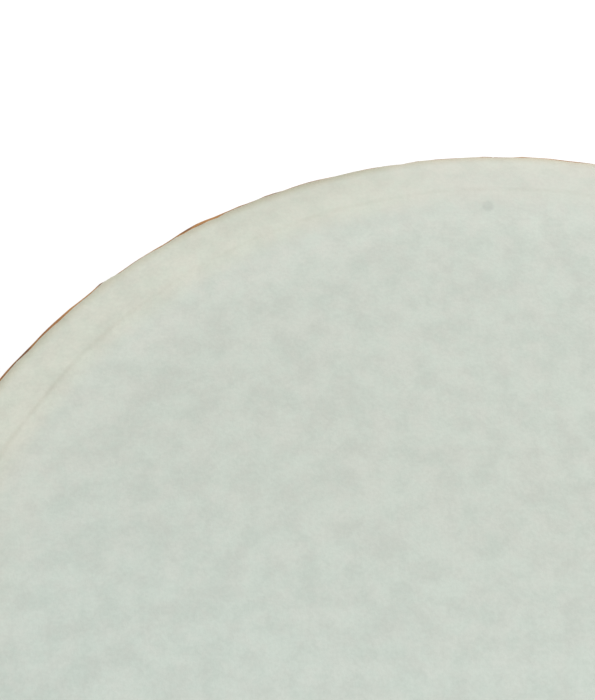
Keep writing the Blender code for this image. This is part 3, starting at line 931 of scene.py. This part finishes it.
def make_bolts():
    low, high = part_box("foot_bolt_1_1")
    seat = low.z + BOLT_HEAD_HEIGHT
    head = (high.x - low.x) / 2
    rim = low.z + BOLT_DOME
    outline = [(0, low.z), (head * BOLT_FLAT, low.z)]
    outline += [(head * (BOLT_FLAT + (1 - BOLT_FLAT) * math.sin(a)), rim - BOLT_DOME * math.cos(a))
                for a in DOME_ANGLES]
    outline += [(head, seat - BOLT_EDGE), (head - BOLT_EDGE, seat), (BOLT_RADIUS, seat)]
    thread_end = high.z - THREAD_PITCH / 2
    outline += threaded(BOLT_RADIUS, seat + THREAD_PITCH, thread_end, THREAD_PITCH, THREAD_DEPTH)
    outline += [(BOLT_RADIUS - 2 * THREAD_DEPTH, high.z), (0, high.z)]
    bolt = turned("bolt", outline, FASTENER_STEPS)
    bpy.ops.object.select_all(action="DESELECT")
    bpy.ops.mesh.primitive_cylinder_add(vertices=SOCKET_SIDES, radius=SOCKET_RADIUS, depth=2 * SOCKET_DEPTH,
                                        location=(0, 0, low.z))
    cut(bolt, bpy.context.object)
    make_set(bolt, "foot_bolt", "socket_bolt", "plated_steel")


def make_washers():
    low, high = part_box("foot_washer_1_1")
    outline = rounded_ring(BOLT_HOLE_RADIUS, (high.x - low.x) / 2, low.z, high.z, WASHER_ROUND)
    make_set(turned("washer", outline, FASTENER_STEPS), "foot_washer", "flat_washer", "plated_steel")


def make_nuts():
    low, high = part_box("tee_nut_1_1")
    flange = (high.x - low.x) / 2
    under = high.z - NUT_FLANGE
    outline = [(BOLT_HOLE_RADIUS, low.z), (NUT_BARREL_RADIUS, low.z)]
    outline += [(NUT_BARREL_RADIUS, under), (flange, under)]
    outline += corner(flange - NUT_ROUND, high.z - NUT_ROUND, NUT_ROUND, 0, 90, SMALL_CORNER_STEPS)
    outline += [(BOLT_HOLE_RADIUS + NUT_CHAMFER, high.z), (BOLT_HOLE_RADIUS, high.z - NUT_CHAMFER)]
    outline.append(outline[0])
    make_set(turned("nut", outline, FASTENER_STEPS), "tee_nut", "flanged_nut", "plated_steel")


def make_screws():
    low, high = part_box("board_screw_1")
    head = (high.x - low.x) / 2
    under = low.z + SCREW_HEAD_HEIGHT
    outline = [(0, low.z)]
    outline += [(head * math.sin(a), low.z + SCREW_HEAD_HEIGHT * (1 - math.cos(a)) * SCREW_CROWN)
                for a in DOME_ANGLES]
    outline += [(head, under), (SCREW_RADIUS - SCREW_THREAD, under)]
    outline += threaded(SCREW_RADIUS, under + SCREW_PITCH, high.z - SCREW_TIP, SCREW_PITCH, SCREW_THREAD)
    outline.append((0, high.z))
    screw = turned("screw", outline, FASTENER_STEPS)
    for length, width in ((CROSS_LENGTH, CROSS_WIDTH), (CROSS_WIDTH, CROSS_LENGTH)):
        size = (length, width, 2 * CROSS_DEPTH)
        bpy.ops.object.select_all(action="DESELECT")
        bpy.ops.mesh.primitive_cube_add(size=1, location=(0, 0, low.z), scale=size)
        cut(screw, bpy.context.object)
    make_set(screw, "board_screw", "cross_screw", "plated_steel")


def dress_carried_nodes():
    """The CAD nodes whose shape stays get the finish of their slot."""
    for subpart in frame["record"]["subparts"]:
        node = frame["nodes"][subpart["node"]]
        for material_slot in node.material_slots:
            material_slot.material = FINISHES[subpart["material_slot"]]


def seen_directly(start):
    """1 for what the camera, a reflection or a clear body sees."""
    camera = start.node("ShaderNodeLightPath", output="Is Camera Ray")
    glossy = start.node("ShaderNodeLightPath", output="Is Glossy Ray")
    clear = start.node("ShaderNodeLightPath", output="Is Transmission Ray")
    return camera.maths("MAXIMUM", glossy.maths("MAXIMUM", clear))


# A white floor that keeps the shadow. It lets a view from below through.
def make_floor():
    bpy.ops.object.select_all(action="DESELECT")
    bpy.ops.mesh.primitive_plane_add(size=FLOOR_SIZE)
    floor = bpy.context.object
    floor.name = "floor"
    material, shader, start = new_material("floor_white", Roughness=0.9, Specular_IOR_Level=0.0,
                                           Emission_Strength=1.0)
    shader.inputs["Base Color"].default_value = (FLOOR_WHITE, FLOOR_WHITE, FLOOR_WHITE, 1)
    faded = ramp(axis_distance(place_of(start)), *FLOOR_FADE) + FLOOR_LIFT
    lift = blend(seen_directly(start) * faded, (0, 0, 0, 1), (1, 1, 1, 1))
    feed(shader, "Emission Color", lift)
    under = start.node("ShaderNodeNewGeometry", output="Backfacing")
    clear = start.node("ShaderNodeBsdfTransparent")
    white = Signal(start.tree, shader.outputs[0])
    surface = start.node("ShaderNodeMixShader", None, {0: under, 1: white, 2: clear})
    feed(start.tree.nodes["Material Output"], "Surface", surface)
    floor.data.materials.append(material)


def make_world():
    world = bpy.data.worlds.new("studio")
    bpy.context.scene.world = world
    world.use_nodes = True
    start = Signal(world.node_tree)
    background = world.node_tree.nodes["Background"]
    background.inputs["Color"].default_value = (1, 1, 1, 1)
    feed(background, "Strength", SKY + (1 - SKY) * seen_directly(start))


def add_lamp(name, place, size, power):
    light = bpy.data.lights.new(name, "AREA")
    light.size = size
    light.energy = power
    lamp = bpy.data.objects.new(name, light)
    bpy.context.scene.collection.objects.link(lamp)
    lamp.location = place
    lamp.rotation_euler = (Vector(LAMP_TARGET) - Vector(place)).to_track_quat("-Z", "Y").to_euler()


def add_camera():
    lens = bpy.data.cameras.new("camera")
    lens.lens = CAMERA_LENS
    lens.clip_start = CAMERA_NEAR
    camera = bpy.data.objects.new("camera", lens)
    bpy.context.scene.collection.objects.link(camera)
    camera.location = CAMERA_PLACE
    camera.rotation_euler = (math.radians(CAMERA_TILT), 0, 0)
    bpy.context.scene.camera = camera


dress_carried_nodes()
make_film()
make_band()
make_laminate()
make_channel()
make_board()
make_port()
make_feet()
make_bolts()
make_washers()
make_nuts()
make_screws()
make_floor()
make_world()
add_lamp("key", KEY_PLACE, KEY_SIZE, KEY_POWER)
add_lamp("fill", FILL_PLACE, FILL_SIZE, FILL_POWER)
add_camera()
bpy.context.scene.view_settings.view_transform = "Standard"
